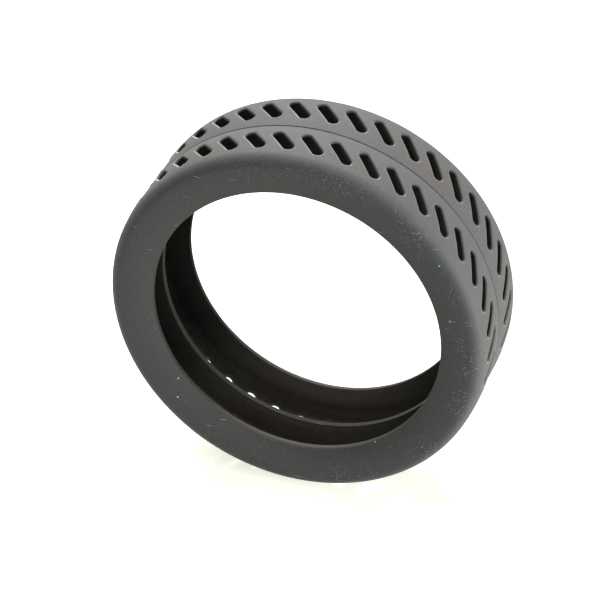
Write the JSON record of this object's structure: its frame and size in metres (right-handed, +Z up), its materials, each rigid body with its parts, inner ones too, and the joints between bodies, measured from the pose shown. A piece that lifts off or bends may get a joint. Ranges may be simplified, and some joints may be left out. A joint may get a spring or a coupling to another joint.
{
  "type": "traction tyre",
  "caption": "Hollow rubber traction tyre with slotted twin-crown tread, open beads and a centre rib, stretched over a small drive wheel.",
  "frame": {"origin": "centre of the wheel, on the axle, midway between the beads", "axes": "+Y along the axle from the front bead to the rear bead, +Z up, +X to the right seen from the front"},
  "size_m": [0.1904, 0.0618, 0.1904],
  "materials": {
    "tread_rubber": "matt moulded rubber, a little dusty",
    "sidewall_rubber": "matt moulded rubber with fine grain and dust specks",
    "bead_rubber": "smooth matt rubber",
    "rib_rubber": "smooth matt rubber"
  },
  "bodies": {
    "root": {"tread_front": "tread_rubber", "tread_rear": "tread_rubber", "sidewall_front": "sidewall_rubber", "sidewall_rear": "sidewall_rubber", "bead_front": "bead_rubber", "bead_rear": "bead_rubber", "centre_rib": "rib_rubber"}
  },
  "joints": []
}
